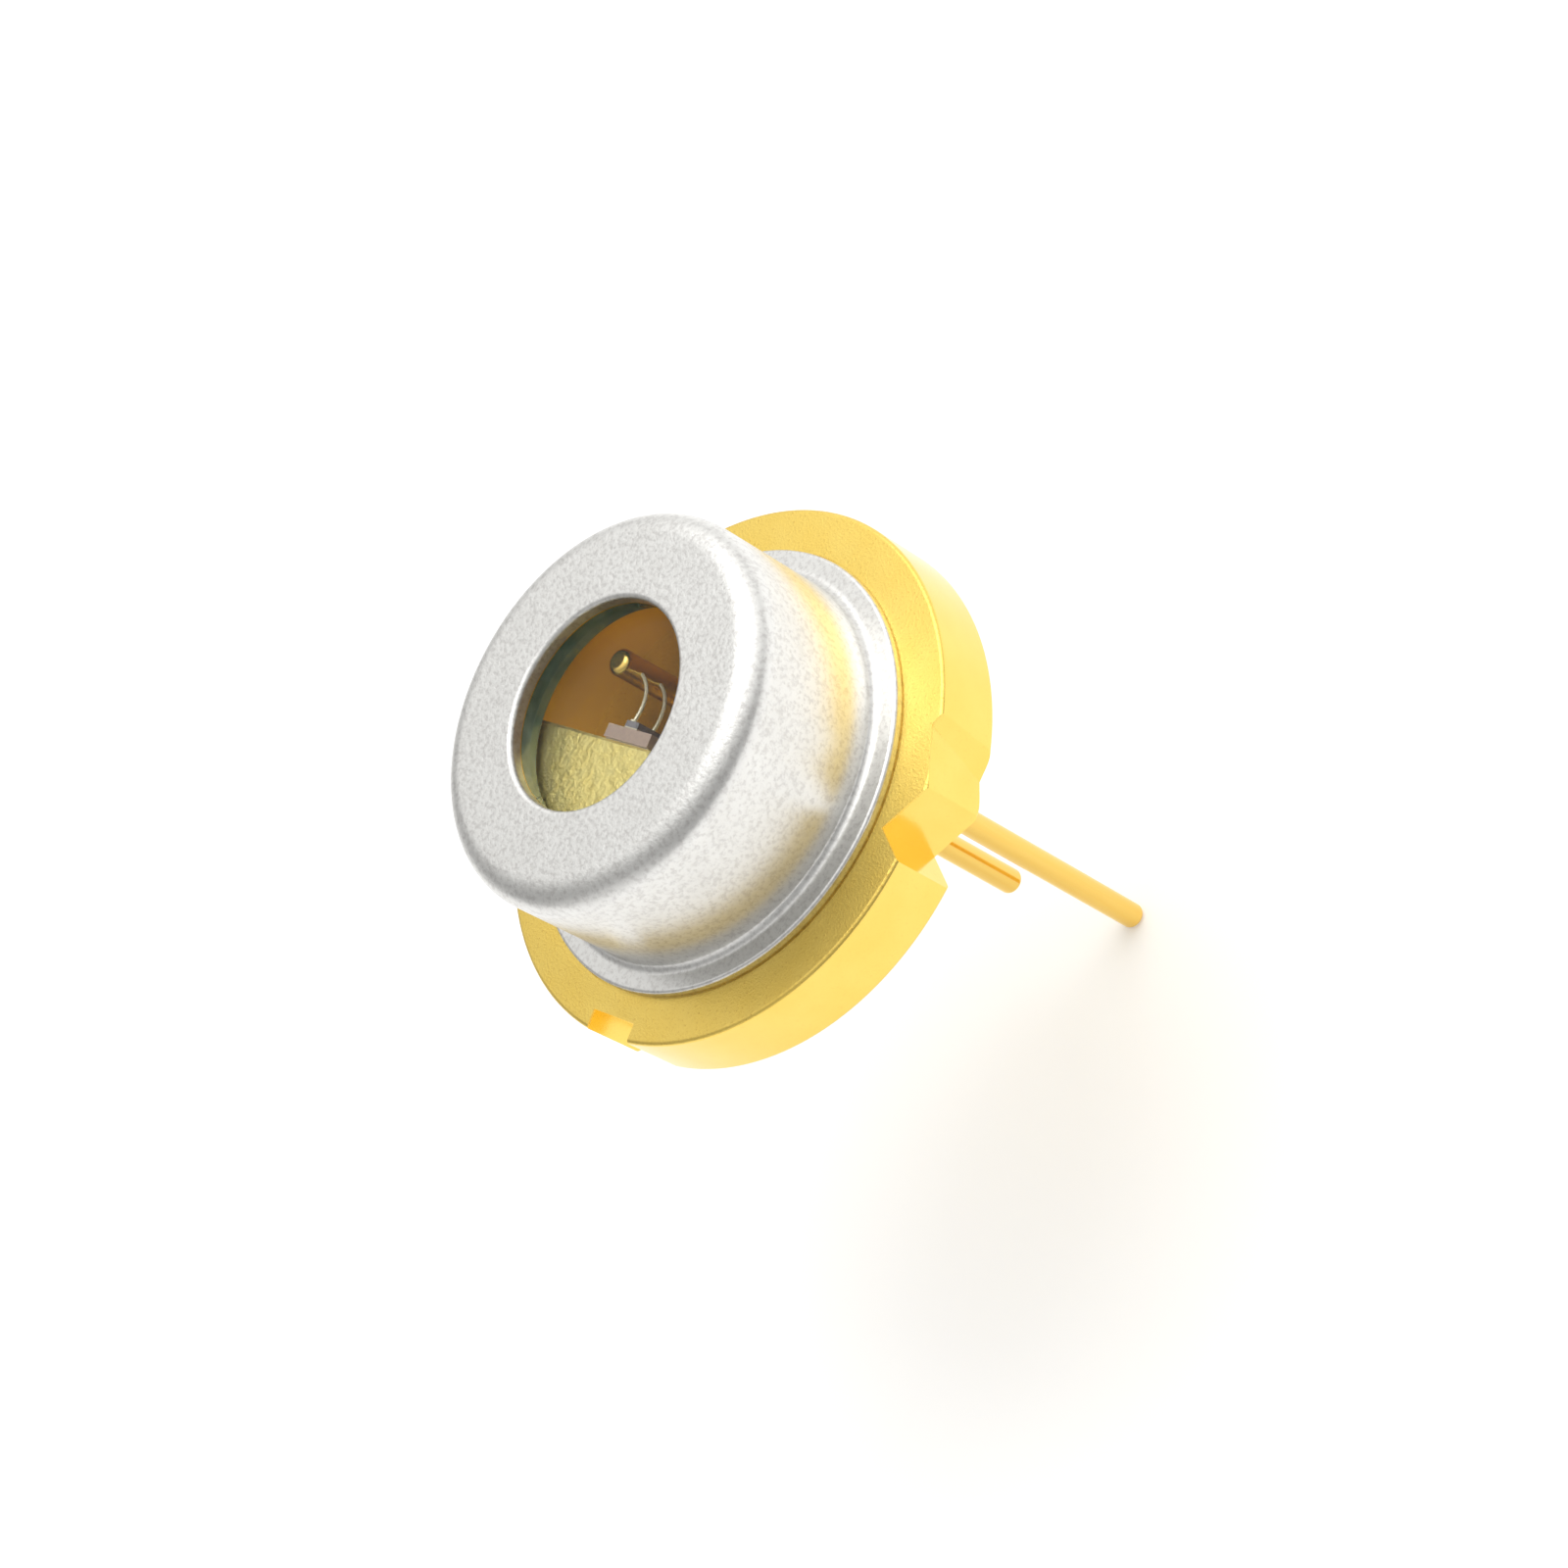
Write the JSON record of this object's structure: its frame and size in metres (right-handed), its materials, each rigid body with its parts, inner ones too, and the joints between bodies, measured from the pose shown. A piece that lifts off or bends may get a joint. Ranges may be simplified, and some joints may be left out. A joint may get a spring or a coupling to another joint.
{
  "type": "laser diode",
  "caption": "Round metal-can laser diode: gold-plated stem disc with index notches, nickel cap with a round glass window, wire leads behind.",
  "frame": {"origin": "centre of the stem's front face, the optical reference face", "axes": "+Z along the beam, out through the window; index notch on the -Y side; V notches on the X axis; case lead on the +Y side"},
  "size_m": [0.009, 0.009, 0.0131],
  "materials": {
    "stem_gold": "satin gold plating",
    "cap_nickel": "satin nickel plating",
    "window_glass": "polished",
    "seal_glass": "smooth solder glass",
    "block_gold": "matt gold plating",
    "braze": "flowed braze",
    "solder": "flowed solder",
    "submount_ceramic": "sawn",
    "chip_crystal": "cleaved",
    "wire_gold": "bright drawn",
    "lead_gold": "gold plating",
    "bead_glass": "fused glass"
  },
  "bodies": {
    "root": {"stem": "stem_gold", "cap": "cap_nickel", "window_pane": "window_glass", "window_seal": "seal_glass", "block_braze": "braze", "heat_sink_block": "block_gold", "submount_solder": "solder", "submount": "submount_ceramic", "chip_solder": "solder", "laser_chip": "chip_crystal", "bond_wire_front": "wire_gold", "bond_wire_rear": "wire_gold", "signal_lead": "lead_gold", "lead_seal": "bead_glass", "case_lead": "lead_gold", "case_lead_braze": "braze"}
  },
  "joints": []
}
